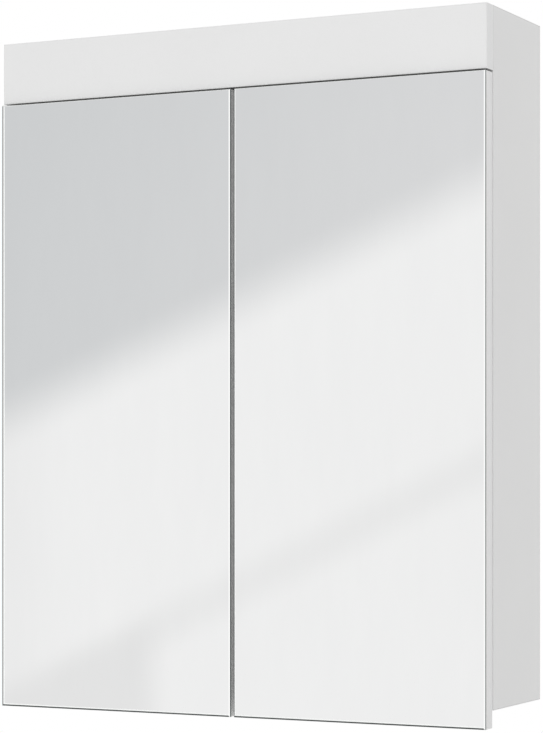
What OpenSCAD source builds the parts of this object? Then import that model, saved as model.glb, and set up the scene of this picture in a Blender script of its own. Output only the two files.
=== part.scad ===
// Two-door wall cabinet with full mirror fronts.
// Frame: millimetres, +X to the right, +Y towards the wall, +Z up.
// The origin is on the wall plane, midway between the two hanging holes.

/* [Overall size] */
// Width over the doors and the fascia
width = 600; // [450:10:800]
// Height from the doors' lower edge to the top
height = 770; // [600:10:900]
// Height of the hanging holes above the doors' lower edge
hang_z = 712; // [600:1:760]

/* [Carcass] */
// Depth of the carcass boards, wall to front edge
carcass_depth = 146; // [120:1:200]
// Thickness of the carcass boards
board = 15; // [12:1:18]
// Distance the doors hang below the carcass as a finger grip
finger_drop = 18.5; // [0:0.5:30]
// Thickness of the back panel
back_t = 3; // [2:0.5:6]
// Depth of the back panel's grooves
groove = 6; // [4:1:8]
// Space between the back panel and the wall
rear_recess = 17; // [12:1:30]
// Height of the upper hanging rail
rail_h = 67; // [50:1:90]
// Height of the lower rail
low_rail_h = 50; // [30:1:80]

/* [Fascia] */
// Height of the fascia board above the doors
fascia_h = 70; // [40:5:120]
// Thickness of the fascia board
fascia_t = 19; // [15:1:22]
// Gap between the fascia and the doors
fascia_gap = 2; // [1:0.5:4]

/* [Shelves] */
// Height of the lower shelves' underside above the doors' lower edge
shelf_z1 = 262; // [150:1:350]
// Height of the upper shelves' underside above the doors' lower edge
shelf_z2 = 500; // [380:1:600]
// Set-back of the shelves behind the carcass front edge
shelf_back = 11; // [4:1:40]
// Spacing of the shelf pin holes
pin_pitch = 32; // [20:1:40]

/* [Doors] */
// Thickness of the door board
door_board = 18; // [15:1:19]
// Thickness of the mirror glass
glass_t = 4; // [3:1:6]
// Width of the polished chamfer round the mirror
chamfer = 1.2; // [0.5:0.1:3]
// Gap between the two doors
middle_gap = 5; // [2:0.5:8]
// Gap between the doors and the carcass front edges
door_gap = 2; // [1.5:0.1:2.5]
// Set-in of each door's outer edge from the side's outer face
edge_in = 0.25; // [0:0.05:1]

/* [Hinges] */
// Height of the lower hinges above the doors' lower edge
hinge_z1 = 100; // [70:1:160]
// Height of the upper hinges above the doors' lower edge
hinge_z2 = 600; // [540:1:660]
// Radius of the hinge cup
cup_r = 17.5; // [13:0.5:20]
// Depth of the hinge cup
cup_depth = 12; // [10:0.5:13]
// Distance of the cup's rim from the door's edge
cup_tab = 4; // [3:0.5:6]
// Radius of the hinge pins
pin_r = 1.5; // [1:0.1:2]
// Radial running clearance of the links on the pins
run_gap = 0.05; // [0.02:0.01:0.1]
// Arm pin's distance inwards from the side's outer face
arm_u = 29.5; // [26:0.1:34]
// Arm pin's distance in front of the side's front edge
arm_v = -3.4; // [-8:0.1:0]
// Cup pin's distance inwards from the side's outer face
eye_u = 12; // [10:0.1:16]
// Cup pin's distance in front of the side's front edge
eye_v = 6.7; // [5:0.1:8]

/* [Hanging] */
// Distance between the two hanging holes
hang_spacing = 440; // [300:10:520]
// Radius of the round entry of a hanging hole
hang_r = 6; // [5:0.5:8]
// Width of the slot above the round entry
hang_slot = 6; // [4:0.5:8]

/* [Hidden] */
$fn = 64;
half = width / 2;
inner = half - board;
roof_z = height - board;
floor_z = finger_drop + board;
fascia_z = height - fascia_h;
door_h = fascia_z - fascia_gap;
door_w = half - edge_in - middle_gap / 2;
door_back_v = door_gap;
glass_back_v = door_gap + door_board;
front_v = glass_back_v + glass_t;
rail_y = -rear_recess;
plate_t = 2;
shelf_x0 = board / 2 + 0.5;
shelf_w = inner - board / 2 - 1;
shelf_d = carcass_depth - rear_recess - back_t - shelf_back - 1;
pin_rows = [-carcass_depth + 27, -38];
shelf_zs = [shelf_z1, shelf_z2];
hinge_zs = [hinge_z1, hinge_z2];
cup_u = edge_in + cup_tab + cup_r;
cup_wall = 1;
flange_t = 1;
wing_u = cup_u + 6;
wing_z = 24;
link_t = 2.3;
link_w = 13;
link_eye_r = 2.7;
cheek_in = 7.5;
cheek_t = 1.5;
arm_eye_r = 3.4;
boss_u = board + 11.6;
web_t = 1.4;
plate_v = -37;
plate_z = 16;
cam_r = 7.5;
cam_depth = 12;
cam_in = 24;
bolt_ys = [-112, -42];
dowel_y = -77;
eps = 0.01;

// Node to build

// ---------- placing helpers ----------

// Heights are counted from the doors' lower edge, then moved to the hanging origin.
module placed() {
    translate([0, 0, -hang_z]) children();
}

// Repeats the right-hand half on both sides.
module both_sides() {
    children();
    mirror([1, 0, 0]) children();
}

// Hinge plane of the right side: u inwards from the side's outer face, v forwards
// from its front edge, z along the pins.
module hinge_frame() {
    translate([half, -carcass_depth, 0]) rotate([0, 0, 180]) children();
}

module at_hinges() {
    for (z = hinge_zs) translate([0, 0, z]) hinge_frame() children();
}

// Box from two opposite corners.
module span(a, b) {
    translate(a) cube(b - a);
}

// Cylinder along X from x0 to x1.
module rod_x(x0, x1, y, z, r) {
    translate([x0, y, z]) rotate([0, 90, 0]) cylinder(h = x1 - x0, r = r);
}

// Cylinder along Y from y0 to y1.
module rod_y(x, y0, y1, z, r) {
    translate([x, y0, z]) rotate([-90, 0, 0]) cylinder(h = y1 - y0, r = r);
}

// Flat bar of thickness t between two points of the hinge plane.
module bar(p, q, t) {
    d = q - p;
    translate(p) rotate(atan2(d[1], d[0])) translate([0, -t / 2]) square([norm(d), t]);
}

// ---------- carcass ----------

// Blind holes for the shelf pins in a face whose inner surface is at x.
module pin_holes(x0, x1) {
    for (z = shelf_zs, y = pin_rows, i = [-1:1])
        rod_x(x0, x1, y, z - 3 + i * pin_pitch, 2.5);
}

module corner_holes(z) {
    for (y = bolt_ys) rod_x(inner - 0.1, inner + 10, y, z, 3);
    rod_x(inner - 0.1, inner + 10, dowel_y, z, 4);
}

module side() {
    difference() {
        span([inner, -carcass_depth, finger_drop], [half, 0, height]);
        span([inner - 1, -rear_recess - back_t, floor_z - groove],
            [inner + groove, -rear_recess, roof_z + groove]);
        pin_holes(inner - 0.1, inner + 8);
        corner_holes(finger_drop + board / 2);
        corner_holes(height - board / 2);
        for (z = [floor_z + low_rail_h / 2, roof_z - rail_h / 2])
            rod_x(inner - 0.1, inner + 10, -rear_recess / 2 - 1, z, 3);
        for (z = hinge_zs, s = [-1, 1])
            translate([0, 0, z + s * plate_z]) hinge_frame()
                translate([board + 0.1, plate_v, 0]) rotate([0, -90, 0]) cylinder(h = 11.1, r = 1.8);
    }
}

module side_right() {
    color([0.90, 0.90, 0.90]) placed() side();
}

module side_left() {
    color([0.90, 0.90, 0.90]) placed() mirror([1, 0, 0]) side();
}

// Holes in a horizontal board for the end fittings; open is the cam's outer face.
module end_holes(z, cam_z) {
    both_sides() {
        for (y = bolt_ys) {
            rod_x(inner - cam_in + cam_r - 1, inner + 1, y, z, 3);
            translate([inner - cam_in, y, cam_z]) cylinder(h = cam_depth, r = cam_r);
        }
        rod_x(inner - 18, inner + 1, dowel_y, z, 4);
    }
}

module top_panel() {
    color([0.90, 0.90, 0.90]) placed() difference() {
        span([-inner, -carcass_depth, roof_z], [inner, 0, height]);
        span([-inner - 1, -rear_recess - back_t, roof_z - 1],
            [inner + 1, -rear_recess, roof_z + groove]);
        end_holes(height - board / 2, height - cam_depth);
        for (y = bolt_ys) translate([0, y, roof_z - 1]) cylinder(h = 10, r = 4);
        for (x = [-210, -75, 75, 210])
            translate([x, -carcass_depth + 14, roof_z - 1]) cylinder(h = 11, r = 1.6);
    }
}

module bottom_panel() {
    color([0.90, 0.90, 0.90]) placed() difference() {
        span([-inner, -carcass_depth, finger_drop], [inner, 0, floor_z]);
        span([-inner - 1, -rear_recess - back_t, floor_z - groove],
            [inner + 1, -rear_recess, floor_z + 1]);
        end_holes(finger_drop + board / 2, finger_drop);
        for (y = bolt_ys) translate([0, y, floor_z - 9]) cylinder(h = 10, r = 4);
    }
}

module partition() {
    color([0.90, 0.90, 0.90]) placed() difference() {
        span([-board / 2, -carcass_depth, floor_z], [board / 2, -rear_recess - back_t, roof_z]);
        pin_holes(-board / 2 - 0.1, -board / 2 + 6);
        pin_holes(board / 2 - 6, board / 2 + 0.1);
        for (y = bolt_ys) {
            translate([0, y, floor_z - 1]) cylinder(h = 16, r = 4);
            translate([0, y, roof_z - 15]) cylinder(h = 16, r = 4);
        }
    }
}

module back_panel() {
    color([0.88, 0.87, 0.85]) placed()
        span([-inner - groove + 0.5, -rear_recess - back_t, floor_z - groove + 0.5],
            [inner + groove - 0.5, -rear_recess, roof_z + groove - 0.5]);
}

// Pocket behind a hanging plate for the head of the wall screw.
module head_pocket() {
    rod_y(0, -12, 0.1, 0, 8);
    rod_y(0, -12, 0.1, 14, 8);
    span([-8, -12, 0], [8, 0.1, 14]);
}

module rail_board(z0, z1) {
    difference() {
        span([-inner, rail_y, z0], [inner, -plate_t, z1]);
        both_sides() rod_x(inner - 15, inner + 1, -rear_recess / 2 - 1, (z0 + z1) / 2, 3);
    }
}

module hanging_rail() {
    color([0.90, 0.90, 0.90]) placed() difference() {
        rail_board(roof_z - rail_h, roof_z);
        for (x = [-hang_spacing / 2, hang_spacing / 2]) translate([x, -plate_t, hang_z]) {
            head_pocket();
            for (sx = [-1, 1], sz = [-12, 27]) rod_y(sx * 14, -12, 0.1, sz, 1.6);
        }
    }
}

module lower_rail() {
    color([0.90, 0.90, 0.90]) placed() rail_board(floor_z, floor_z + low_rail_h);
}

module fascia() {
    color([0.92, 0.92, 0.92]) placed() difference() {
        span([-half, -carcass_depth - fascia_t, fascia_z], [half, -carcass_depth, height]);
        for (x = [-210, -75, 75, 210])
            rod_y(x, -carcass_depth - 11, -carcass_depth + 0.1, roof_z - 14, 1.6);
    }
}

// ---------- shelves ----------

module shelf(z) {
    span([shelf_x0, -carcass_depth + shelf_back, z],
        [shelf_x0 + shelf_w, -carcass_depth + shelf_back + shelf_d, z + board]);
}

module shelf_right_lower() {
    color([0.90, 0.90, 0.90]) placed() shelf(shelf_z1);
}

module shelf_right_upper() {
    color([0.90, 0.90, 0.90]) placed() shelf(shelf_z2);
}

module shelf_left_lower() {
    color([0.90, 0.90, 0.90]) placed() mirror([1, 0, 0]) shelf(shelf_z1);
}

module shelf_left_upper() {
    color([0.90, 0.90, 0.90]) placed() mirror([1, 0, 0]) shelf(shelf_z2);
}

// Pin with a flat spoon under the shelf; s is +1 for a pin in the side, -1 in the partition.
module shelf_pin(x, y, z, s, stem) {
    translate([x, y, z - 3]) mirror([s > 0 ? 0 : 1, 0, 0]) {
        rod_x(-0.8, stem, 0, 0, 2.5);
        rod_x(-1, 0, 0, 0, 2.9);
        span([-8, -3.5, 1], [-1 + eps, 3.5, 3]);
        span([-7, -1, -2.5], [-1 + eps, 1, 1 + eps]);
    }
}

module shelf_pins() {
    color([0.75, 0.76, 0.78]) placed() both_sides() for (z = shelf_zs, y = pin_rows) {
        shelf_pin(inner, y, z, 1, 8);
        shelf_pin(board / 2, y, z, -1, 6);
    }
}

// ---------- carcass fittings ----------

module dowels() {
    color([0.80, 0.66, 0.45]) placed() {
        both_sides() {
            for (z = [finger_drop + board / 2, height - board / 2])
                rod_x(inner - 18, inner + 10, dowel_y, z, 4);
            for (z = [floor_z + low_rail_h / 2, roof_z - rail_h / 2])
                rod_x(inner - 15, inner + 10, -rear_recess / 2 - 1, z, 3);
        }
        for (y = bolt_ys) {
            translate([0, y, floor_z - 9]) cylinder(h = 24, r = 4);
            translate([0, y, roof_z - 15]) cylinder(h = 24, r = 4);
        }
    }
}

module cam_bolts() {
    color([0.72, 0.73, 0.75]) placed() both_sides()
        for (z = [finger_drop + board / 2, height - board / 2], y = bolt_ys)
            rod_x(inner - cam_in + cam_r - 1, inner + 10, y, z, 3);
}

module cam(z, face) {
    for (y = bolt_ys) difference() {
        translate([inner - cam_in, y, z]) cylinder(h = cam_depth, r = cam_r);
        rod_x(inner - cam_in + cam_r - 1, inner, y, face, 3);
        for (a = [0, 90])
            translate([inner - cam_in, y, z > height / 2 ? height : finger_drop])
                rotate([0, 0, a + 30]) cube([8, 1.4, 5], center = true);
    }
}

module cam_locks() {
    color([0.70, 0.71, 0.73]) placed() both_sides() {
        cam(finger_drop, finger_drop + board / 2);
        cam(height - cam_depth, height - board / 2);
    }
}

module fascia_brackets() {
    color([0.78, 0.79, 0.80]) placed() for (x = [-210, -75, 75, 210]) difference() {
        union() {
            span([x - 12, -carcass_depth, roof_z - plate_t], [x + 12, -carcass_depth + 22, roof_z]);
            span([x - 12, -carcass_depth, roof_z - 22], [x + 12, -carcass_depth + plate_t, roof_z]);
        }
        translate([x, -carcass_depth + 14, roof_z - 3]) cylinder(h = 4, r = 1.6);
        rod_y(x, -carcass_depth - 1, -carcass_depth + 3, roof_z - 14, 1.6);
    }
}

// Screw along Z with its head at z = 0 and below; the driver's cross is cut into the head.
module pan_screw(len, r, head_r, head_h) {
    difference() {
        union() {
            cylinder(h = len, r = r);
            translate([0, 0, -head_h]) cylinder(h = head_h, r = head_r);
        }
        for (a = [0, 90]) translate([0, 0, -head_h]) rotate([0, 0, a])
            cube([head_r * 1.25, 0.9, head_h], center = true);
    }
}

module fascia_screws() {
    color([0.70, 0.71, 0.73]) placed() for (x = [-210, -75, 75, 210]) {
        translate([x, -carcass_depth + 14, roof_z - plate_t]) pan_screw(12, 1.6, 3.2, 1.8);
        translate([x, -carcass_depth + plate_t, roof_z - 14])
            rotate([90, 0, 0]) pan_screw(12, 1.6, 3.2, 1.8);
    }
}

// Steel plate with a round entry and a slot above it, let in flush with the wall plane.
module hanger_plate() {
    difference() {
        span([-20, -plate_t, -19], [20, 0, 34]);
        rod_y(0, -3, 1, 0, hang_r);
        span([-hang_slot / 2, -3, 0], [hang_slot / 2, 1, 14]);
        rod_y(0, -3, 1, 14, hang_slot / 2);
        for (sx = [-1, 1], sz = [-12, 27]) {
            rod_y(sx * 14, -plate_t - 0.1, -0.4, sz, 1.65);
            rod_y(sx * 14, -1, 0.1, sz, 3.25);
        }
    }
}

module hanger_plates() {
    color([0.78, 0.79, 0.80]) placed()
        for (x = [-hang_spacing / 2, hang_spacing / 2]) translate([x, 0, hang_z]) hanger_plate();
}

module hanger_screws() {
    color([0.70, 0.71, 0.73]) placed() for (x = [-hang_spacing / 2, hang_spacing / 2])
        for (sx = [-1, 1], sz = [-12, 27])
            translate([x + sx * 14, -1, hang_z + sz]) rotate([90, 0, 0]) pan_screw(13, 1.6, 3.2, 1);
}

module wall_pads() {
    color([0.35, 0.35, 0.36]) placed() both_sides()
        rod_y(230, -plate_t, 0, floor_z + low_rail_h / 2, 10);
}

// ---------- hinges ----------

module mounting_plate() {
    difference() {
        union() {
            span([board, plate_v - 9, -26], [board + plate_t, plate_v + 9, 26]);
            span([board, -58, -7], [boss_u, -14, 7]);
        }
        for (s = [-1, 1]) translate([board - 1, plate_v, s * plate_z]) rotate([0, 90, 0]) {
            cylinder(h = 5, r = 1.8);
            translate([0, 0, 1.4]) cylinder(h = 1.7, r1 = 1.8, r2 = 3.5);
        }
        for (v = [-50, -24]) translate([boss_u - 6, v, 0]) rotate([0, 90, 0]) cylinder(h = 7, r = 2);
    }
}

module mounting_plates() {
    color([0.80, 0.81, 0.82]) placed() both_sides() at_hinges() mounting_plate();
}

module plate_screws() {
    color([0.70, 0.71, 0.73]) placed() both_sides() at_hinges()
        for (s = [-1, 1]) translate([board, plate_v, s * plate_z]) difference() {
            union() {
                translate([-11, 0, 0]) rotate([0, 90, 0]) cylinder(h = 11.5, r = 1.8);
                translate([0.4, 0, 0]) rotate([0, 90, 0]) cylinder(h = 1.6, r1 = 1.8, r2 = 3.4);
            }
            for (a = [0, 90]) translate([plate_t, 0, 0]) rotate([a, 0, 0])
                cube([2, 4, 0.9], center = true);
        }
}

module arm_profile() {
    translate([board + 4.5, -58]) square([boss_u + web_t - board - 4.5, 46]);
    bar([arm_u - 2, -24], [arm_u, arm_v], 2 * arm_eye_r);
    translate([arm_u, arm_v]) circle(arm_eye_r);
}

module hinge_arm() {
    difference() {
        union() {
            for (s = [-1, 1]) translate([0, 0, s * (cheek_in + cheek_t / 2) - cheek_t / 2])
                linear_extrude(height = cheek_t) arm_profile();
            span([boss_u, -58, -cheek_in - cheek_t], [boss_u + web_t, -14, cheek_in + cheek_t]);
        }
        translate([arm_u, arm_v, -12]) cylinder(h = 24, r = pin_r);
        for (v = [-50, -24]) translate([boss_u - 1, v, 0]) rotate([0, 90, 0]) cylinder(h = 5, r = 2);
    }
}

module hinge_arms() {
    color([0.80, 0.81, 0.82]) placed() both_sides() at_hinges() hinge_arm();
}

module arm_screws() {
    color([0.70, 0.71, 0.73]) placed() both_sides() at_hinges() for (v = [-50, -24])
        translate([boss_u, v, 0]) difference() {
            union() {
                translate([-6, 0, 0]) rotate([0, 90, 0]) cylinder(h = 6 + web_t, r = 2);
                translate([web_t, 0, 0]) rotate([0, 90, 0]) cylinder(h = 1.8, r = 3.6);
            }
            for (a = [0, 90]) translate([web_t + 1.8, 0, 0]) rotate([a, 0, 0])
                cube([2, 4.6, 0.9], center = true);
        }
}

module arm_covers() {
    color([0.82, 0.83, 0.84]) placed() both_sides() at_hinges()
        span([boss_u + web_t, -45, -cheek_in - 0.5], [boss_u + web_t + 1, -29, cheek_in + 0.5]);
}

module arm_pins() {
    color([0.66, 0.67, 0.69]) placed() both_sides() at_hinges()
        translate([arm_u, arm_v, -cheek_in - cheek_t - 0.5])
            cylinder(h = 2 * (cheek_in + cheek_t) + 1, r = pin_r);
}

// Bent link that reaches round the door's edge; its bends are set from its two pins.
module link_profile() {
    a = [arm_u, arm_v];
    c = [eye_u, eye_v];
    p = a + [-3.7, 11.8];
    q = c + [6.1, 4.6];
    difference() {
        union() {
            bar(a, p, link_t);
            bar(p, q, link_t);
            bar(q, c, link_t);
            translate(p) circle(link_t / 2);
            translate(q) circle(link_t / 2);
            translate(a) circle(link_eye_r);
            translate(c) circle(link_eye_r);
        }
        translate(a) circle(pin_r + run_gap);
        translate(c) circle(pin_r + run_gap);
    }
}

module links() {
    at_hinges() translate([0, 0, -link_w / 2]) linear_extrude(height = link_w) link_profile();
}

module right_links() {
    color([0.78, 0.79, 0.80]) placed() links();
}

module left_links() {
    color([0.78, 0.79, 0.80]) placed() mirror([1, 0, 0]) links();
}

// ---------- doors ----------

// Outline of the cup's flange on the door's back, with its two screw wings.
module flange_outline() {
    translate([0, cup_u]) circle(cup_r + 0.8);
    for (s = [-1, 1]) translate([s * wing_z, wing_u]) circle(5);
    translate([-wing_z, wing_u - 5]) square([2 * wing_z, 10]);
}

// Cylinder or flat shape standing on the hinge plane's v axis.
module along_v(v) {
    translate([0, v, 0]) rotate([0, -90, 0]) rotate([-90, 0, 0]) children();
}

module flange() {
    along_v(door_back_v) mirror([1, 0, 0]) linear_extrude(height = flange_t) flange_outline();
}

module cup_screw_shape(extra) {
    for (s = [-1, 1]) translate([wing_u, door_back_v, s * wing_z]) rotate([-90, 0, 0]) {
        cylinder(h = 10, r = 1.7);
        translate([0, 0, -extra]) cylinder(h = flange_t + extra, r1 = 3.6 + 2 * extra, r2 = 1.7);
    }
}

module door_board_shape() {
    difference() {
        hinge_frame() span([edge_in, door_back_v, 0], [edge_in + door_w, glass_back_v, door_h]);
        at_hinges() {
            translate([cup_u, door_back_v - 1, 0]) rotate([-90, 0, 0])
                cylinder(h = cup_depth + 1, r = cup_r);
            translate([0, -1, 0]) flange();
            flange();
            for (s = [-1, 1]) translate([wing_u, door_back_v, s * wing_z])
                rotate([-90, 0, 0]) cylinder(h = 10, r = 1.7);
        }
    }
}

module right_door_board() {
    color([0.93, 0.93, 0.93]) placed() door_board_shape();
}

module left_door_board() {
    color([0.93, 0.93, 0.93]) placed() mirror([1, 0, 0]) door_board_shape();
}

// Ridge taken off one long edge of the glass by a triangular prism.
module edge_cut(len) {
    translate([0, 0, -1]) linear_extrude(height = len + 2)
        polygon([[-1, 1], [chamfer, 1], [chamfer, 0], [0, -chamfer], [-1, -chamfer]]);
}

module mirror_shape() {
    hinge_frame() difference() {
        span([edge_in, glass_back_v, 0], [edge_in + door_w, front_v, door_h]);
        translate([edge_in, front_v, 0]) edge_cut(door_h);
        translate([edge_in + door_w, front_v, 0]) mirror([1, 0, 0]) edge_cut(door_h);
        translate([edge_in, front_v, 0]) rotate([0, 90, 0]) rotate([0, 0, 90])
            mirror([1, 0, 0]) rotate([0, 0, 90]) edge_cut(door_w);
        translate([edge_in, front_v, door_h]) rotate([0, 90, 0]) edge_cut(door_w);
    }
}

module right_mirror() {
    color([0.80, 0.82, 0.84]) placed() mirror_shape();
}

module left_mirror() {
    color([0.80, 0.82, 0.84]) placed() mirror([1, 0, 0]) mirror_shape();
}

module cups() {
    at_hinges() {
        difference() {
            union() {
                translate([cup_u, door_back_v, 0]) rotate([-90, 0, 0])
                    cylinder(h = cup_depth, r = cup_r);
                flange();
            }
            translate([cup_u, door_back_v - 1, 0]) rotate([-90, 0, 0])
                cylinder(h = cup_depth + 1 - cup_wall, r = cup_r - cup_wall);
            cup_screw_shape(0.1);
        }
        difference() {
            intersection() {
                translate([cup_u, door_back_v + 1, 0]) rotate([-90, 0, 0])
                    cylinder(h = cup_depth - 1.5, r = cup_r - cup_wall / 2);
                for (s = [-1, 1])
                    translate([cup_u - cup_r, door_back_v + 1, s * (cheek_in + 1.5) - 1.5])
                        cube([eye_u + 3.5 - cup_u + cup_r, cup_depth - 1.5, 3]);
            }
            translate([eye_u, eye_v, -15]) cylinder(h = 30, r = pin_r);
        }
    }
}

module right_cups() {
    color([0.80, 0.81, 0.82]) placed() cups();
}

module left_cups() {
    color([0.80, 0.81, 0.82]) placed() mirror([1, 0, 0]) cups();
}

module cup_screws() {
    at_hinges() difference() {
        cup_screw_shape(0);
        for (s = [-1, 1], a = [0, 90]) translate([wing_u, door_back_v, s * wing_z])
            rotate([0, a, 0]) cube([4, 1.2, 0.9], center = true);
    }
}

module right_cup_screws() {
    color([0.70, 0.71, 0.73]) placed() cup_screws();
}

module left_cup_screws() {
    color([0.70, 0.71, 0.73]) placed() mirror([1, 0, 0]) cup_screws();
}

module cup_pins() {
    at_hinges() translate([eye_u, eye_v, -cheek_in - 3]) cylinder(h = 2 * cheek_in + 6, r = pin_r);
}

module right_cup_pins() {
    color([0.66, 0.67, 0.69]) placed() cup_pins();
}

module left_cup_pins() {
    color([0.66, 0.67, 0.69]) placed() mirror([1, 0, 0]) cup_pins();
}

// Soft stops on the door's back, against the bottom panel and the partition.
module bumpers() {
    rod_y(40, -carcass_depth - door_gap, -carcass_depth, finger_drop + board / 2, 4);
    for (z = [shelf_z1 + 60, roof_z - 90])
        span([middle_gap / 2 + 0.5, -carcass_depth - door_gap, z],
            [board / 2 - 0.3, -carcass_depth, z + 18]);
}

module right_bumpers() {
    color([0.86, 0.88, 0.88]) placed() bumpers();
}

module left_bumpers() {
    color([0.86, 0.88, 0.88]) placed() mirror([1, 0, 0]) bumpers();
}

side_left();
side_right();
top_panel();
bottom_panel();
partition();
back_panel();
hanging_rail();
lower_rail();
fascia();
shelf_left_lower();
shelf_left_upper();
shelf_right_lower();
shelf_right_upper();
shelf_pins();
dowels();
cam_bolts();
cam_locks();
fascia_brackets();
fascia_screws();
hanger_plates();
hanger_screws();
wall_pads();
mounting_plates();
plate_screws();
hinge_arms();
arm_screws();
arm_covers();
arm_pins();
left_links();
right_links();
left_door_board();
left_mirror();
left_cups();
left_cup_screws();
left_cup_pins();
left_bumpers();
right_door_board();
right_mirror();
right_cups();
right_cup_screws();
right_cup_pins();
right_bumpers();
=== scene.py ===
"""Two-door mirror cabinet: materials, fine detail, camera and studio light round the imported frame.

Every CAD node stays where it is and in view. The boards and the pressed steel get small rounds on
their arrises, and each node gets a procedural material. The patterns are laid out in the row frame,
in metres, and move with the piece.
"""
import math

import bpy
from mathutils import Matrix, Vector


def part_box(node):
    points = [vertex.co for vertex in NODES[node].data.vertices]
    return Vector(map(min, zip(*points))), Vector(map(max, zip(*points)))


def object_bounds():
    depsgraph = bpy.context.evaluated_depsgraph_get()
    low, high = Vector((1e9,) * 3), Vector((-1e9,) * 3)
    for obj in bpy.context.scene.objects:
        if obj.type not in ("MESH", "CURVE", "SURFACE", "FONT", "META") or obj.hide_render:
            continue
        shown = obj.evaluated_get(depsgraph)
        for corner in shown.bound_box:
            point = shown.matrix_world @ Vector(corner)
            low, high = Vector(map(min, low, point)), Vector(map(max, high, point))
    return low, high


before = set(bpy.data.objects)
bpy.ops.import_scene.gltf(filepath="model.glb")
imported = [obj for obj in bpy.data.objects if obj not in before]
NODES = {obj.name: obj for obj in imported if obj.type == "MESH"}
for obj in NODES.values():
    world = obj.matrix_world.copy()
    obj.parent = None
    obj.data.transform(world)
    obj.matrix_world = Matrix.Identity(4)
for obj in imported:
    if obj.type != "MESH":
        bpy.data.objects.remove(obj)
cad_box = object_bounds()

SCENE = bpy.context.scene
MM = 0.001
# The doors hang lowest, so the box ends at their foot.
DOOR_FOOT = cad_box[0][2]
WHITE_LIGHT = (1.0, 1.0, 1.0)


# ---------------------------------------------------------------- node tree helpers

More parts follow.
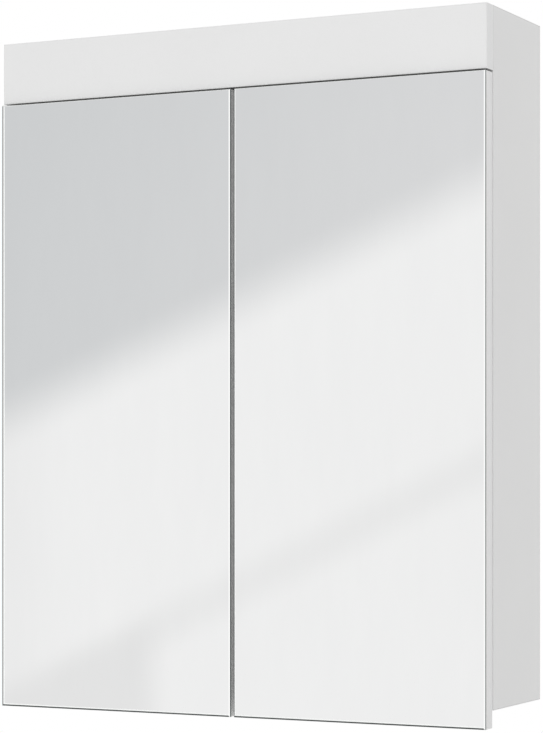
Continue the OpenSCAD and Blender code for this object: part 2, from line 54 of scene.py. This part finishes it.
class Tree:
    """Short names for building the node tree of a material or of the world."""

    def __init__(self, owner):
        owner.use_nodes = True
        self.tree = owner.node_tree
        self.tree.nodes.clear()
        self._position = None
        self._normal = None

    def node(self, kind, **settings):
        made = self.tree.nodes.new(kind)
        for key, value in settings.items():
            setattr(made, key, value)
        return made

    def feed(self, socket, value):
        """Links a socket's output, or sets a plain number or colour."""
        if isinstance(value, bpy.types.NodeSocket):
            self.tree.links.new(value, socket)
        elif isinstance(value, (tuple, list)) and len(value) == 3 and socket.type == "RGBA":
            socket.default_value = (*value, 1.0)
        else:
            socket.default_value = value

    def math(self, operation, a, b=0.0):
        made = self.node("ShaderNodeMath", operation=operation)
        for socket, value in zip(made.inputs, (a, b)):
            self.feed(socket, value)
        return made.outputs[0]

    def add(self, a, b):
        return self.math("ADD", a, b)

    def sub(self, a, b):
        return self.math("SUBTRACT", a, b)

    def mul(self, a, b):
        return self.math("MULTIPLY", a, b)

    def least(self, a, b):
        return self.math("MINIMUM", a, b)

    def most(self, a, b):
        return self.math("MAXIMUM", a, b)

    def absolute(self, a):
        return self.math("ABSOLUTE", a)

    def above(self, value, edge, soft):
        """0 below edge - soft, 1 above edge + soft, smooth between."""
        made = self.node("ShaderNodeMapRange", interpolation_type="SMOOTHSTEP")
        for socket, given in zip(made.inputs, (value, edge - soft, edge + soft, 0.0, 1.0)):
            self.feed(socket, given)
        return made.outputs[0]

    def below(self, value, edge, soft):
        return self.sub(1.0, self.above(value, edge, soft))

    def ramp(self, value, low, high, out_low=0.0, out_high=1.0):
        made = self.node("ShaderNodeMapRange")
        for socket, given in zip(made.inputs, (value, low, high, out_low, out_high)):
            self.feed(socket, given)
        return made.outputs[0]

    def spread(self, noise, out_low=0.0, out_high=1.0):
        """Stretches the middle of a noise pattern over the given range."""
        return self.ramp(noise, 0.3, 0.7, out_low, out_high)

    def mix(self, factor, a, b):
        """Colour a where factor is 0, colour b where it is 1."""
        made = self.node("ShaderNodeMix", data_type="RGBA")
        self.feed(made.inputs[0], factor)
        self.feed(made.inputs[6], a)
        self.feed(made.inputs[7], b)
        return made.outputs[2]

    def blend(self, factor, a, b):
        """Number a where factor is 0, number b where it is 1."""
        made = self.node("ShaderNodeMix", data_type="FLOAT")
        self.feed(made.inputs[0], factor)
        self.feed(made.inputs[2], a)
        self.feed(made.inputs[3], b)
        return made.outputs[0]

    def split(self, vector):
        made = self.node("ShaderNodeSeparateXYZ")
        self.feed(made.inputs[0], vector)
        return list(made.outputs)

    def position(self):
        """Object-space position in metres: a node's mesh lies in the row frame."""
        if self._position is None:
            self._position = self.node("ShaderNodeTexCoord").outputs["Object"]
        return self._position

    def axes(self):
        return self.split(self.position())

    def normal(self):
        """Components of the object-space normal."""
        if self._normal is None:
            self._normal = self.split(self.node("ShaderNodeTexCoord").outputs["Normal"])
        return self._normal

    def stretched(self, scale):
        """Position scaled per axis: a pattern grows long where its scale is under 1."""
        made = self.node("ShaderNodeMapping")
        self.feed(made.inputs["Vector"], self.position())
        made.inputs["Scale"].default_value = scale
        return made.outputs[0]

    def noise(self, scale, detail=2.0, rough=0.5, vector=None):
        made = self.node("ShaderNodeTexNoise")
        self.feed(made.inputs["Vector"], self.position() if vector is None else vector)
        made.inputs["Scale"].default_value = scale
        made.inputs["Detail"].default_value = detail
        made.inputs["Roughness"].default_value = rough
        return made.outputs[0]

    def cells(self, scale, vector=None):
        """Red, green and blue of a pattern of randomly toned cells."""
        cell = self.node("ShaderNodeTexVoronoi")
        self.feed(cell.inputs["Vector"], self.position() if vector is None else vector)
        cell.inputs["Scale"].default_value = scale
        tones = self.node("ShaderNodeSeparateColor")
        self.feed(tones.inputs[0], cell.outputs["Color"])
        return tones.outputs

    def bump(self, height, distance, strength):
        made = self.node("ShaderNodeBump")
        made.inputs["Strength"].default_value = strength
        made.inputs["Distance"].default_value = distance
        self.feed(made.inputs["Height"], height)
        return made.outputs[0]

    def principled(self, **inputs):
        shader = self.node("ShaderNodeBsdfPrincipled")
        for name, value in inputs.items():
            self.feed(shader.inputs[name.replace("_", " ")], value)
        return shader.outputs[0]

    def emission(self, colour=WHITE_LIGHT):
        shader = self.node("ShaderNodeEmission")
        self.feed(shader.inputs[0], colour)
        return shader.outputs[0]

    def background(self, strength):
        shader = self.node("ShaderNodeBackground")
        self.feed(shader.inputs[0], WHITE_LIGHT)
        self.feed(shader.inputs[1], strength)
        return shader.outputs[0]

    def either(self, factor, a, b):
        """Shader a where factor is 0, shader b where it is 1."""
        made = self.node("ShaderNodeMixShader")
        for socket, given in zip(made.inputs, (factor, a, b)):
            self.feed(socket, given)
        return made.outputs[0]

    def finish(self, shader, kind="Material"):
        """Ends the tree in the given shader."""
        self.feed(self.node("ShaderNodeOutput" + kind).inputs[0], shader)


def new_material(name):
    material = bpy.data.materials.new(name)
    return material, Tree(material)


def darker(colour, tone):
    return tuple(channel * tone for channel in colour)


# ---------------------------------------------------------------- carried-over nodes

WELD_REACH = 0.001 * MM
FLAT_WITHIN = math.radians(0.5)
SHARP_OVER = math.radians(30.0)


def dress(node, material):
    """Gives a carried-over CAD node one material in all its slots."""
    obj = NODES[node]
    if not obj.data.materials:
        obj.data.materials.append(material)
    for slot in obj.material_slots:
        slot.material = material


def soften(node, width, clamped=False):
    """Rounds the arrises of a CAD node inwards, so that it stays inside its box: its faces are
    joined, flat faces become one, and every sharp edge gets a small round."""
    stack = NODES[node].modifiers
    stack.new("join", "WELD").merge_threshold = WELD_REACH
    flat = stack.new("flat", "DECIMATE")
    flat.decimate_type = "DISSOLVE"
    flat.angle_limit = FLAT_WITHIN
    arris = stack.new("arris", "BEVEL")
    arris.width = width
    arris.segments = 2
    arris.limit_method = "ANGLE"
    arris.angle_limit = SHARP_OVER
    arris.use_clamp_overlap = clamped
    arris.loop_slide = False
    stack.new("shading", "WEIGHTED_NORMAL")


# ---------------------------------------------------------------- boards

BOARD_ROUND = 0.35 * MM
# Depth under a face from which chipboard shows, the skin taken for a raw face, and the band above
# the foot that gets painted shade on the underside.
CORE_DEPTH = 0.25 * MM
RAW_SKIN = 0.3 * MM
UNDERSIDE_SHADE_SKIN = 0.4 * MM
# The band's joint is a line this far in from the edge, and this wide to either side.
BAND_THICKNESS = 0.9 * MM
BAND_LINE = 0.1 * MM

CARCASS_WHITE = (0.80, 0.80, 0.798)
FRONT_WHITE = (0.82, 0.82, 0.82)
BAND_LINE_GREY = (0.30, 0.29, 0.28)
DUST_GREY = (0.55, 0.54, 0.52)


def chipboard(tree):
    """Colour and relief of a raw chipboard face: pressed flakes of several tones."""
    flakes = tree.cells(620.0, tree.stretched((1.0, 1.0, 0.55)))
    fines = tree.cells(1500.0)
    wood = tree.mix(flakes[0], (0.47, 0.33, 0.19), (0.72, 0.57, 0.38))
    return tree.mix(tree.mul(fines[1], 0.45), wood, (0.33, 0.22, 0.12)), flakes[1]


def raw_core(tree, gaps, nearest, facing, raw):
    """1 where the chipboard shows: inside holes and grooves, and on the faces named in raw."""
    depth = tree.least(tree.least(nearest[0], nearest[1]), nearest[2])
    core = tree.above(depth, CORE_DEPTH, 0.05 * MM)
    for face in raw:
        axis = "xyz".index(face[1])
        gap = gaps[axis]["-+".index(face[0])]
        turned = tree.above(tree.absolute(facing[axis]), 0.6, 0.05)
        core = tree.most(core, tree.mul(tree.below(gap, RAW_SKIN, 0.05 * MM), turned))
    return core


def band_joint(tree, nearest, facing, thin):
    """1 on the hairline where an edge band meets a broad face of the board."""
    first, second = (
        tree.below(tree.absolute(tree.sub(nearest[axis], BAND_THICKNESS)), BAND_LINE, 0.04 * MM)
        for axis in range(3) if axis != thin)
    return tree.mul(tree.most(first, second), tree.above(tree.absolute(facing[thin]), 0.9, 0.05))


def board_material(name, node, colour, roughness, raw, line, underside_shade_tone):
    """White faced chipboard with a satin face. raw names the faces left raw, such as '+y', line is
    the strength of the edge band's joint, and the last argument is the tone of painted shade laid
    on the underside."""
    material, tree = new_material(name)
    low, high = (Vector(corner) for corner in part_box(node))
    size = high - low
    thin = min(range(3), key=lambda axis: size[axis])
    here = tree.axes()
    facing = tree.normal()
    gaps = [(tree.sub(here[k], low[k]), tree.sub(high[k], here[k])) for k in range(3)]
    nearest = [tree.least(before, after) for before, after in gaps]
    core = raw_core(tree, gaps, nearest, facing, raw)
    joint = tree.mul(band_joint(tree, nearest, facing, thin), tree.sub(1.0, core))

    cloud = tree.noise(5.5, detail=3.0)
    pearl = tree.noise(900.0, rough=0.6)
    dust = tree.above(tree.noise(260.0, detail=4.0, rough=0.65), 0.72, 0.05)
    face = tree.mix(tree.ramp(cloud, 0.35, 0.65), darker(colour, 0.985), colour)
    face = tree.mix(tree.mul(dust, 0.05), face, DUST_GREY)
    face = tree.mix(tree.mul(joint, line), face, BAND_LINE_GREY)
    # Painted shade: the board's underside is darkened, standing in for the shade in the gap beneath
    # it.
    if underside_shade_tone < 1.0:
        foot = tree.below(gaps[2][0], UNDERSIDE_SHADE_SKIN, 0.1 * MM)
        painted_underside_shade = tree.mul(tree.below(facing[2], -0.6, 0.05), foot)
        face = tree.mix(painted_underside_shade, face, darker(colour, underside_shade_tone))

    chips, relief = chipboard(tree)
    satin = tree.spread(pearl, roughness - 0.03, roughness + 0.05)
    smooth = tree.sub(tree.mul(pearl, 0.12), joint)
    height = tree.blend(core, smooth, tree.mul(relief, 2.2))
    tree.finish(tree.principled(
        Base_Color=tree.mix(core, face, chips), Roughness=tree.blend(core, satin, 0.85),
        Normal=tree.bump(height, 0.05 * MM, 0.6)))
    return material


def make_board(node, colour, roughness, raw=(), line=0.3, underside_shade_tone=1.0):
    name = "faced_board_" + node
    dress(node, board_material(name, node, colour, roughness, raw, line, underside_shade_tone))
    soften(node, BOARD_ROUND)


for node in ("side_left", "side_right"):
    # The side panels' band joint is drawn strong: partly the real joint, partly painted shade of the
    # gap beside the doors.
    make_board(node, CARCASS_WHITE, 0.34, raw=("+y",), line=0.9)
for node in ("top_panel", "bottom_panel", "shelf_left_lower", "shelf_left_upper",
             "shelf_right_lower", "shelf_right_upper"):
    make_board(node, CARCASS_WHITE, 0.34, raw=("+y",))
make_board("partition", CARCASS_WHITE, 0.34, raw=("+y", "+z", "-z"))
make_board("hanging_rail", CARCASS_WHITE, 0.36, raw=("-z",))
make_board("lower_rail", CARCASS_WHITE, 0.36, raw=("+z",))
# The fascia's underside gets painted shade, for the dark gap above the doors.
make_board("fascia", FRONT_WHITE, 0.30, line=0.2, underside_shade_tone=0.6)
for node in ("left_door_board", "right_door_board"):
    make_board(node, FRONT_WHITE, 0.30)


# ---------------------------------------------------------------- back panel

def hardboard():
    """Thin fibreboard: white paper inside, brown fibres towards the wall."""
    material, tree = new_material("hardboard_back")
    rear = tree.above(tree.normal()[1], 0.3, 0.05)
    fibre = tree.noise(420.0, detail=6.0, rough=0.7, vector=tree.stretched((1.0, 1.0, 0.35)))
    cloud = tree.noise(14.0, detail=3.0)
    brown = tree.mix(tree.spread(fibre), (0.28, 0.17, 0.09), (0.46, 0.31, 0.18))
    brown = tree.mix(tree.mul(cloud, 0.35), brown, (0.36, 0.23, 0.13))
    white = tree.mix(cloud, (0.755, 0.75, 0.74), (0.78, 0.775, 0.765))
    tree.finish(tree.principled(
        Base_Color=tree.mix(rear, white, brown),
        Roughness=tree.blend(rear, 0.45, tree.spread(fibre, 0.6, 0.8)),
        Normal=tree.bump(tree.mul(fibre, tree.blend(rear, 0.1, 1.0)), 0.12 * MM, 0.7)))
    return material


dress("back_panel", hardboard())


# ---------------------------------------------------------------- mirrors

# Where the painted shade line and the painted highlight line inside it end, from the foot and from
# the left edge.
RIM_FOOT = 1.8 * MM
RIM_SIDE = 2.1 * MM
GLINT_FOOT = 3.1 * MM
GLINT_OUTER = 4.0 * MM
GLINT_INNER = 2.2 * MM
# Depths from the top edge, for the painted shade on the crest, and from the back of the glass.
CREST = 0.65 * MM
BACK_SKIN = 0.2 * MM
PAINT = 0.35 * MM

# Colour of the painted shade and painted dark reflection, and of the painted highlight line.
PAINTED_SHADE_DARK = (0.05, 0.06, 0.057)
PAINTED_HIGHLIGHT_WHITE = (0.96, 0.97, 0.965)
CHAMFER_WHITE = (0.985, 0.99, 0.985)
PAINT_GREY = (0.12, 0.12, 0.12)


def mirror_material(name, node, outer):
    """Silvered float glass. Along the foot, and on the outer left edge, a painted shade line is laid
    on the silver with a painted highlight line inside it; a left edge that isn't outer has only the
    painted highlight line. The polished chamfer is bright, but has a painted dark reflection along
    the foot and the outer left edge, and painted shade at the crest. The cut sides show the green
    body of the glass, and the back is painted."""
    material, tree = new_material(name)
    low, high = (Vector(corner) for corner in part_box(node))
    across, depth, up = tree.axes()
    facing = tree.normal()
    turned = tree.absolute(facing[1])
    flat = tree.above(turned, 0.95, 0.02)
    side = tree.below(turned, 0.35, 0.05)
    slope = tree.sub(1.0, tree.most(flat, side))

    # Painted shade on the upper part of the top chamfer, which looks into the gap under the fascia.
    painted_crest_shade = tree.mul(tree.above(facing[2], 0.3, 0.1), tree.above(up, high.z - CREST, 0.1 * MM))
    # Painted dark reflection on the chamfer along the foot, with the painted crest shade.
    dull_patch_and_painted_dark = tree.most(tree.below(facing[2], -0.3, 0.1), tree.mul(painted_crest_shade, 0.9))
    from_foot = tree.sub(up, low.z)
    from_edge = tree.sub(across, low.x)
    # Painted shade line on the flat along the foot; the painted highlight line lies inside it.
    painted_shade_rim = tree.below(from_foot, RIM_FOOT, 0.15 * MM)
    painted_highlight_reach = tree.below(from_foot, GLINT_FOOT, 0.25 * MM)
    if outer:
        # The outer left edge gets the painted dark chamfer, the painted shade line and a wider
        # painted highlight line.
        dull_patch_and_painted_dark = tree.most(dull_patch_and_painted_dark, tree.below(facing[0], -0.3, 0.1))
        painted_shade_rim = tree.most(painted_shade_rim, tree.below(from_edge, RIM_SIDE, 0.15 * MM))
        painted_highlight_reach = tree.most(painted_highlight_reach, tree.below(from_edge, GLINT_OUTER, 0.3 * MM))
    else:
        # An inner left edge gets only a narrow painted highlight line.
        painted_highlight_reach = tree.most(painted_highlight_reach, tree.below(from_edge, GLINT_INNER, 0.25 * MM))
    dull_patch_and_painted_dark = tree.mul(slope, dull_patch_and_painted_dark)
    # Painted highlight: a near-white band on the flat, inside the painted shade line.
    painted_highlight = tree.mul(flat, tree.mul(tree.sub(1.0, painted_shade_rim), painted_highlight_reach))
    back = tree.mul(flat, tree.above(depth, high.y - BACK_SKIN, 0.05 * MM))

    streaks = tree.noise(38.0, detail=3.0, rough=0.6, vector=tree.stretched((1.0, 1.0, 0.25)))
    silver = tree.mix(tree.spread(streaks), (0.859, 0.861, 0.861), (0.870, 0.872, 0.871))
    silver = tree.mix(tree.mul(slope, tree.sub(1.0, dull_patch_and_painted_dark)), silver, CHAMFER_WHITE)
    ground = tree.noise(1600.0, detail=3.0, rough=0.7)
    body = tree.mix(tree.spread(ground), (0.035, 0.062, 0.055), (0.06, 0.095, 0.085))
    body = tree.mix(tree.above(depth, high.y - PAINT, 0.08 * MM), body, PAINT_GREY)

    cut = tree.most(side, back)
    # Painted shade and painted dark reflection, laid over the silver and the glass body.
    dark = tree.most(dull_patch_and_painted_dark, tree.mul(flat, painted_shade_rim))
    colour = tree.mix(dark, tree.mix(cut, silver, body), PAINTED_SHADE_DARK)
    waves = tree.noise(5.0, detail=1.0, rough=0.4)
    height = tree.add(waves, tree.mul(tree.mul(ground, side), 0.02))
    polish = tree.blend(flat, 0.09, 0.012)
    tree.finish(tree.principled(
        # The painted highlight is laid over the colour as a near-white, non-metal band.
        Base_Color=tree.mix(painted_highlight, colour, PAINTED_HIGHLIGHT_WHITE),
        Metallic=tree.sub(1.0, tree.most(cut, tree.most(dark, painted_highlight))),
        Roughness=tree.blend(tree.most(side, painted_highlight), polish, 0.22),
        Normal=tree.bump(height, 0.05 * MM, 0.25)))
    return material


for side in ("left", "right"):
    dress(side + "_mirror",
          mirror_material("silvered_glass_" + side, side + "_mirror", outer=side == "left"))


# ---------------------------------------------------------------- metal and small parts

STEEL_ROUND = 0.2 * MM


def plated(name, colour, roughness, grain, stretch=(1.0, 1.0, 1.0), wear=0.2):
    """Nickel or zinc plating: cloudy tone, fine drawn grain and slightly duller patches."""
    material, tree = new_material(name)
    fine = tree.noise(grain, detail=3.0, rough=0.6, vector=tree.stretched(stretch))
    dull_patch_and_painted_dark = tree.above(tree.noise(120.0, detail=3.0, rough=0.6), 0.56, 0.08)
    dark = darker(colour, 0.86)
    tone = tree.mix(tree.spread(fine, 0.0, 0.5), colour, dark)
    satin = tree.spread(fine, roughness - 0.05, roughness + 0.07)
    tree.finish(tree.principled(
        Base_Color=tree.mix(tree.mul(dull_patch_and_painted_dark, wear), tone, dark), Metallic=1.0,
        Roughness=tree.add(satin, tree.mul(dull_patch_and_painted_dark, 0.08)), Normal=tree.bump(fine, 0.02 * MM, 0.35)))
    return material


def beech():
    """Fine-grained wood along the dowels, with short darker flecks."""
    material, tree = new_material("beech_dowel")
    rings = tree.noise(300.0, detail=4.0, rough=0.6, vector=tree.stretched((0.12, 1.0, 1.0)))
    fleck = tree.above(tree.noise(900.0, vector=tree.stretched((0.3, 1.0, 1.0))), 0.62, 0.04)
    wood = tree.mix(tree.spread(rings), (0.56, 0.38, 0.21), (0.74, 0.56, 0.36))
    tree.finish(tree.principled(
        Base_Color=tree.mix(tree.mul(fleck, 0.4), wood, (0.38, 0.24, 0.12)), Roughness=0.62,
        Normal=tree.bump(rings, 0.1 * MM, 0.6)))
    return material


def felt():
    """Dense grey felt with a fuzzy surface."""
    material, tree = new_material("grey_felt")
    fuzz = tree.noise(2200.0, detail=5.0, rough=0.75)
    tuft = tree.noise(420.0, detail=3.0, rough=0.6)
    tone = tree.mix(fuzz, (0.055, 0.056, 0.06), (0.16, 0.16, 0.165))
    tree.finish(tree.principled(
        Base_Color=tree.mix(tree.mul(tuft, 0.5), tone, (0.10, 0.10, 0.105)), Roughness=0.95,
        Sheen_Weight=0.35, Normal=tree.bump(fuzz, 0.35 * MM, 0.9)))
    return material


def clear_plastic():
    """Soft, slightly hazy plastic of the door bumpers."""
    material, tree = new_material("soft_clear_plastic")
    haze = tree.noise(700.0, detail=3.0, rough=0.6)
    tree.finish(tree.principled(
        Base_Color=tree.mix(haze, (0.78, 0.80, 0.80), (0.88, 0.90, 0.90)),
        Roughness=tree.spread(haze, 0.28, 0.42), Transmission_Weight=0.35,
        Normal=tree.bump(haze, 0.05 * MM, 0.4)))
    return material


NICKEL = plated("nickel_plating", (0.70, 0.70, 0.69), 0.24, 1800.0, stretch=(1.0, 1.0, 0.3))
ZINC = plated("zinc_plating", (0.62, 0.64, 0.66), 0.34, 900.0)
DRAWN = plated("drawn_steel", (0.58, 0.58, 0.59), 0.2, 2600.0, stretch=(1.0, 1.0, 0.1), wear=0.1)
CAST = plated("cast_zinc", (0.50, 0.51, 0.53), 0.45, 700.0, wear=0.5)
CLEAR = clear_plastic()

FINISH = {
    "shelf_pins": NICKEL, "fascia_brackets": NICKEL, "hanger_plates": NICKEL,
    "mounting_plates": NICKEL, "hinge_arms": NICKEL, "arm_covers": NICKEL,
    "left_links": NICKEL, "right_links": NICKEL, "left_cups": NICKEL, "right_cups": NICKEL,
    "cam_bolts": ZINC, "fascia_screws": ZINC, "hanger_screws": ZINC, "plate_screws": ZINC,
    "arm_screws": ZINC, "left_cup_screws": ZINC, "right_cup_screws": ZINC,
    "arm_pins": DRAWN, "left_cup_pins": DRAWN, "right_cup_pins": DRAWN, "cam_locks": CAST,
    "dowels": beech(), "wall_pads": felt(), "left_bumpers": CLEAR, "right_bumpers": CLEAR,
}
for node, material in FINISH.items():
    dress(node, material)

for node in ("hinge_arms", "arm_covers", "left_links", "right_links", "left_cups", "right_cups",
             "fascia_brackets", "hanger_plates"):
    soften(node, STEEL_ROUND)
soften("mounting_plates", STEEL_ROUND, clamped=True)


# ---------------------------------------------------------------- camera

# The eye, in metres from the origin and above the doors' foot, and its heading in degrees.
EYE_RIGHT = 1.26064
EYE_FORWARD = 2.66214
EYE_ABOVE_FOOT = 0.28059
HEADING = 26.875
LENS = 123.57
SHIFT_RIGHT = 0.0570
SHIFT_UP = 0.1337


def place_camera():
    """Level camera to the right of the front, turned towards the cabinet."""
    lens = bpy.data.cameras.new("camera")
    lens.lens = LENS
    lens.shift_x = SHIFT_RIGHT
    lens.shift_y = SHIFT_UP
    camera = bpy.data.objects.new("camera", lens)
    SCENE.collection.objects.link(camera)
    camera.location = (EYE_RIGHT, -EYE_FORWARD, DOOR_FOOT + EYE_ABOVE_FOOT)
    camera.rotation_euler = (math.radians(90.0), 0.0, math.radians(HEADING))
    SCENE.camera = camera


place_camera()


# ---------------------------------------------------------------- floor and surroundings

# The floor lies this far under the doors, and fades to white round this distance from its middle.
FLOOR_RADIUS = 9.0
FLOOR_SIDES = 96
FLOOR_DROP = 1.15
FADE_MIDDLE = 5.5
FADE_HALF = 3.2
FILL_STRENGTH = 0.595
SEEN_STRENGTH = 1.0


def stage_sheet(name, outline, material):
    """A flat stage piece with its outline in its own XY plane."""
    mesh = bpy.data.meshes.new(name)
    mesh.from_pydata([(x, y, 0.0) for x, y in outline], [], [tuple(range(len(outline)))])
    mesh.materials.append(material)
    sheet = bpy.data.objects.new(name, mesh)
    SCENE.collection.objects.link(sheet)
    return sheet


def floor_material():
    """Pale floor that fades to the white of the surroundings with distance."""
    material, tree = new_material("pale_floor")
    tone = tree.mix(tree.noise(3.0, detail=4.0), (0.86, 0.86, 0.855), (0.90, 0.90, 0.895))
    near = tree.principled(Base_Color=tone, Roughness=0.6)
    x, y = tree.axes()[:2]
    reach = tree.math("SQRT", tree.add(tree.mul(x, x), tree.mul(y, y)))
    tree.finish(tree.either(tree.above(reach, FADE_MIDDLE, FADE_HALF), near, tree.emission()))
    return material


def lay_floor():
    turns = [math.tau * k / FLOOR_SIDES for k in range(FLOOR_SIDES)]
    outline = [(FLOOR_RADIUS * math.cos(t), FLOOR_RADIUS * math.sin(t)) for t in turns]
    floor = stage_sheet("floor", outline, floor_material())
    floor.location = (0.0, 0.0, DOOR_FOOT - FLOOR_DROP)


def fill_world():
    """White surroundings: seen and reflected at full strength, a softer fill for the shading."""
    world = bpy.data.worlds.new("studio")
    SCENE.world = world
    tree = Tree(world)
    paths = tree.node("ShaderNodeLightPath")
    seen = tree.most(paths.outputs["Is Camera Ray"], paths.outputs["Is Glossy Ray"])
    fill = tree.background(FILL_STRENGTH)
    tree.finish(tree.either(seen, fill, tree.background(SEEN_STRENGTH)), "World")


lay_floor()
fill_world()


# ---------------------------------------------------------------- reflector card

# The card stands where the mirrors reflect it towards the camera.
CARD_CENTRE = Vector((-1.32618, -2.85349, -0.35998))
CARD_FACING = Vector((0.44708, 0.89450, 0.0))
CARD_WIDTH = 2.6
CARD_HEIGHT = 3.4

# Places on the card, in metres from its centre: upward, or rightward as the mirrors show it.
# Edges rise by SLANT to the right, and their height is that above the card's middle.
SLANT = 0.5
GREY_EDGE = 0.304
GREY_SOFT = 0.09
GREY_LEFT = (0.698, 0.712, 0.722)
GREY_RIGHT = (0.79, 0.793, 0.80)
GREY_FROM = -0.70
GREY_TO = 0.45
GREY_LEAN = 0.25
WHITE_EDGE = -0.47
WHITE_SOFT = 0.09
WHITE_LEFT = (0.955, 0.955, 0.955)
WHITE_RIGHT = (0.99, 0.99, 0.99)
STRIPE_MIDDLE = -0.348
STRIPE_HALF = 0.045
STRIPE_WEIGHT = 0.5
STRIPE_TONE = (0.88, 0.88, 0.88)
CORNER_TOP = -0.33
CORNER_SIDE = -0.21
CORNER_TONE = (0.885, 0.885, 0.885)


def card_material():
    """Tones that the mirrors reflect: a cool grey above a slanting soft edge, white below it, one
    faint slanting stripe, and a faintly darker lower corner."""
    material, tree = new_material("reflector")
    across, upward = tree.axes()[:2]
    rightward = tree.mul(across, -1.0)
    slant = tree.sub(upward, tree.mul(rightward, SLANT))
    grey = tree.above(slant, GREY_EDGE, GREY_SOFT)
    off_stripe = tree.absolute(tree.sub(slant, STRIPE_MIDDLE))
    stripe = tree.above(tree.sub(1.0, off_stripe), 1.0 - STRIPE_HALF, STRIPE_HALF)
    corner = tree.mul(tree.below(slant, CORNER_TOP, 0.04), tree.below(rightward, CORNER_SIDE, 0.05))
    rise = tree.ramp(tree.sub(rightward, tree.mul(upward, GREY_LEAN)), GREY_FROM, GREY_TO)
    cool = tree.mix(rise, GREY_LEFT, GREY_RIGHT)
    bright = tree.mix(tree.above(rightward, WHITE_EDGE, WHITE_SOFT), WHITE_LEFT, WHITE_RIGHT)
    tone = tree.mix(grey, bright, cool)
    tone = tree.mix(tree.mul(stripe, STRIPE_WEIGHT), tone, STRIPE_TONE)
    tree.finish(tree.emission(tree.mix(corner, tone, CORNER_TONE)))
    return material


def hang_card():
    """Large card beside the camera that only reflections see."""
    x, y = CARD_WIDTH / 2.0, CARD_HEIGHT / 2.0
    card = stage_sheet("reflector_card", [(-x, -y), (x, -y), (x, y), (-x, y)], card_material())
    card.location = CARD_CENTRE
    card.rotation_euler = CARD_FACING.to_track_quat("Z", "Y").to_euler()
    card.visible_camera = False
    card.visible_diffuse = False
    card.visible_shadow = False


hang_card()


# ---------------------------------------------------------------- key light

# Degrees right of the front and above the level.
KEY_AZIMUTH = 20.0
KEY_ELEVATION = 32.0
KEY_STRENGTH = 1.17
KEY_SPREAD = 20.0
KEY_DISTANCE = 4.0


def hang_key_light():
    """Distant soft light from above and to the right of the front."""
    data = bpy.data.lights.new("key_light", "SUN")
    data.energy = KEY_STRENGTH
    data.angle = math.radians(KEY_SPREAD)
    lamp = bpy.data.objects.new("key_light", data)
    SCENE.collection.objects.link(lamp)
    azimuth = math.radians(KEY_AZIMUTH)
    elevation = math.radians(KEY_ELEVATION)
    level = math.cos(elevation)
    source = Vector((math.sin(azimuth) * level, -math.cos(azimuth) * level, math.sin(elevation)))
    lamp.location = source * KEY_DISTANCE
    lamp.rotation_euler = (-source).to_track_quat("-Z", "Y").to_euler()
    lamp.visible_glossy = False


hang_key_light()

SCENE.view_settings.view_transform = "Standard"
SCENE.view_settings.look = "None"
SCENE.view_settings.exposure = 0.0
SCENE.view_settings.gamma = 1.0
